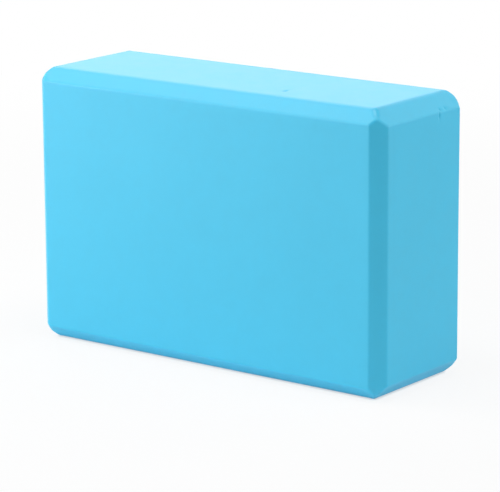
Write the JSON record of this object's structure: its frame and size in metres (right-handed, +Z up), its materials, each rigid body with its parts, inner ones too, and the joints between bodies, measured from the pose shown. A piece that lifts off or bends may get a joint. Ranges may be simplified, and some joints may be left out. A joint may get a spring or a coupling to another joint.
{
  "type": "foam block",
  "caption": "Oblong light blue closed-cell foam block with bevelled edges and mitred corners, standing on a long narrow face; a firm prop that can rest on any of its faces.",
  "frame": {"origin": "centre of the block's footprint, on the surface that it stands on", "axes": "+X along the length, +Y through the thickness from one broad face to the other, +Z up"},
  "size_m": [0.23, 0.079, 0.152],
  "materials": {
    "foam": "matte"
  },
  "bodies": {
    "root": {"foam_block": "foam"}
  },
  "joints": []
}
